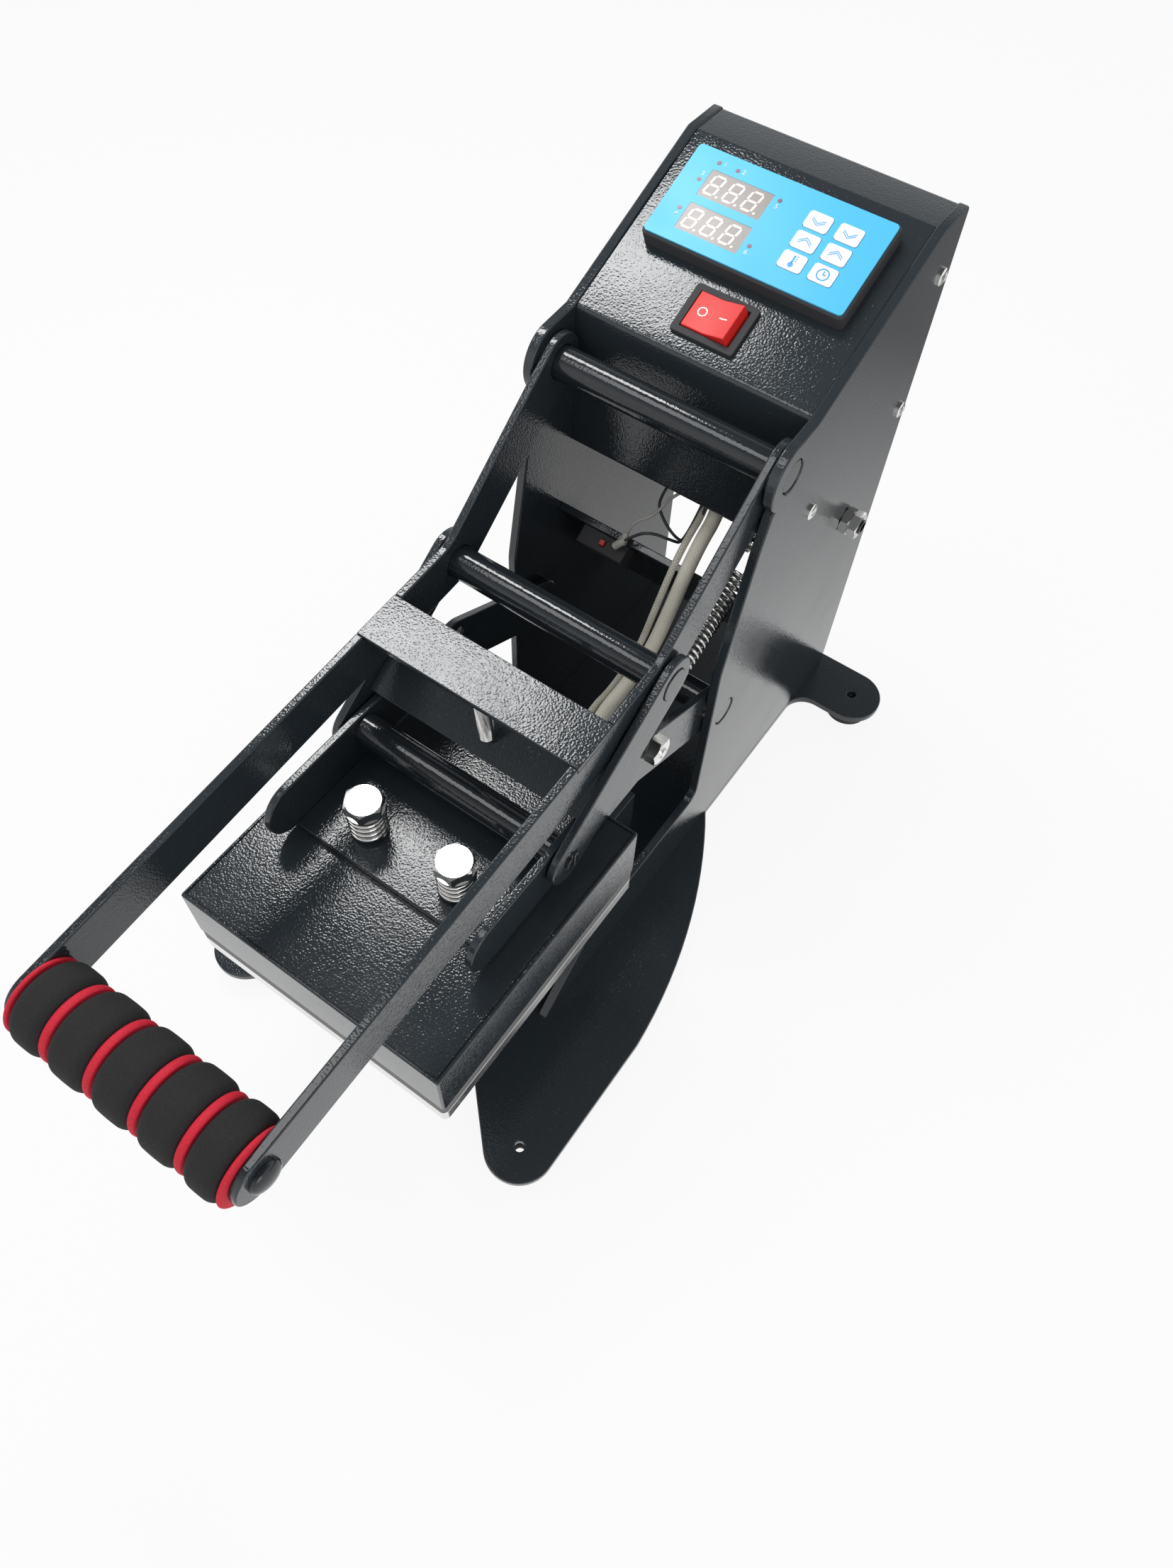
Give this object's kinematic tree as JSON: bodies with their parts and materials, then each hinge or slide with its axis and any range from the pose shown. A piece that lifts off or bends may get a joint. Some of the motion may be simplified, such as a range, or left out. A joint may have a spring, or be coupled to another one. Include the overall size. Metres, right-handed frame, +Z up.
{
  "type": "flat heat press",
  "caption": "Small clamshell flat heat press: square heated head on a toggle-lever linkage over a padded platen, with a sloping control box behind",
  "frame": {"origin": "on the table, midway between the left and right feet and halfway from the handle grip to the back edge of the base", "axes": "+Z up, +Y to the back away from the operator, +X to the operator's right"},
  "size_m": [0.229, 0.495, 0.3378],
  "materials": {
    "black_paint": "fine textured powder coat, semi-gloss",
    "black_rod": "smooth gloss black",
    "rubber": "matt black",
    "foam": "soft matt foam",
    "ring_red": "satin",
    "zinc": "bright zinc plate",
    "spring_wire": "bright plated wire",
    "aluminium": "machined",
    "silicone": "matt silicone sponge",
    "insulation": "ceramic fibre board",
    "sleeve": "woven glass sleeve",
    "sensor_braid": "fine metal braid",
    "black_plastic": "fine grain",
    "face_blue": "printed film",
    "key_white": "satin",
    "window": "tinted window",
    "lamp_red": "clear red",
    "rocker_red": "gloss"
  },
  "bodies": {
    "frame": {"base_plate": "black_paint", "rubber_feet": "rubber", "side_plate_left": "black_paint", "side_plate_right": "black_paint", "pivot_washers": "zinc", "box_shell": "black_paint", "rear_cover": "black_paint", "box_screws": "zinc", "cord_gland": "black_plastic", "tie_rod": "black_rod", "tie_nuts": "zinc", "inner_brace": "black_paint", "limit_switch": "black_plastic", "pedestal": "black_paint", "pedestal_bolts": "zinc", "lower_platen": "black_paint", "silicone_pad": "silicone", "spring_post": "black_rod", "controller_body": "black_plastic", "controller_face": "face_blue", "display_windows": "window", "indicator_lamps": "lamp_red", "switch_body": "black_plastic", "heater_lead": "sleeve", "sensor_cable": "sensor_braid", "return_spring": "spring_wire"},
    "lever": {"lever_arm_left": "black_paint", "lever_arm_right": "black_paint", "stop_plate": "black_paint", "lever_pivot_rod": "black_rod", "knee_rod": "black_rod", "handle_bar": "black_rod", "grip_foam": "foam", "grip_rings": "ring_red", "handle_screws": "zinc", "stop_stud": "zinc"},
    "links": {"link_left": "black_paint", "link_right": "black_paint", "knee_pins": "black_rod", "link_plate": "black_paint"},
    "carriage": {"carriage_arm_left": "black_paint", "carriage_arm_right": "black_paint", "head_bracket": "black_paint", "head_rod": "black_rod", "carriage_rod": "black_rod", "spring_bolt": "zinc", "heater_cover": "black_paint", "heater_platen": "aluminium", "heater_insulation": "insulation", "heater_bolts": "zinc", "float_springs": "zinc"},
    "switch_rocker": {"rocker": "rocker_red"},
    "plunger": {"limit_plunger": "rocker_red"},
    "button_1": {"key_1": "key_white"},
    "button_2": {"key_2": "key_white"},
    "button_3": {"key_3": "key_white"},
    "button_4": {"key_4": "key_white"},
    "button_5": {"key_5": "key_white"},
    "button_6": {"key_6": "key_white"}
  },
  "joints": [
    {"name": "lever_hinge", "type": "hinge", "parent": "frame", "child": "lever", "pos_m": [0, 0.1075, 0.278], "axis": [-1, 0, 0], "range_deg": [0, 65]},
    {"name": "carriage_hinge", "type": "hinge", "parent": "frame", "child": "carriage", "pos_m": [0, 0.09, 0.127], "axis": [-1, 0, 0], "range_deg": [0, 33.53], "deforming": ["return_spring", "heater_lead", "sensor_cable"]},
    {"name": "link_hinge", "type": "hinge", "parent": "carriage", "child": "links", "pos_m": [0, -0.0485, 0.168], "axis": [1, 0, 0], "range_deg": [0, 77.04]},
    {"name": "rocker_hinge", "type": "hinge", "parent": "frame", "child": "switch_rocker", "pos_m": [0, 0.14453, 0.30115], "axis": [0, 0.9237, 0.3832], "range_deg": [0, 16]},
    {"name": "plunger_slide", "type": "slide", "parent": "frame", "child": "plunger", "axis": [0, 0.5373, -0.8434], "range_m": [0, 0.0006], "stiffness_N_per_m": 500},
    {"name": "button_1_slide", "type": "slide", "parent": "frame", "child": "button_1", "axis": [0, 0.3832, -0.9237], "range_m": [0, 0.0005], "stiffness_N_per_m": 700},
    {"name": "button_2_slide", "type": "slide", "parent": "frame", "child": "button_2", "axis": [0, 0.3832, -0.9237], "range_m": [0, 0.0005], "stiffness_N_per_m": 700},
    {"name": "button_3_slide", "type": "slide", "parent": "frame", "child": "button_3", "axis": [0, 0.3832, -0.9237], "range_m": [0, 0.0005], "stiffness_N_per_m": 700},
    {"name": "button_4_slide", "type": "slide", "parent": "frame", "child": "button_4", "axis": [0, 0.3832, -0.9237], "range_m": [0, 0.0005], "stiffness_N_per_m": 700},
    {"name": "button_5_slide", "type": "slide", "parent": "frame", "child": "button_5", "axis": [0, 0.3832, -0.9237], "range_m": [0, 0.0005], "stiffness_N_per_m": 700},
    {"name": "button_6_slide", "type": "slide", "parent": "frame", "child": "button_6", "axis": [0, 0.3832, -0.9237], "range_m": [0, 0.0005], "stiffness_N_per_m": 700}
  ],
  "couplings": [
    {"joint": "carriage_hinge", "follows": "lever_hinge", "ratio": 0.5157},
    {"joint": "link_hinge", "follows": "lever_hinge", "ratio": 1.1851}
  ]
}
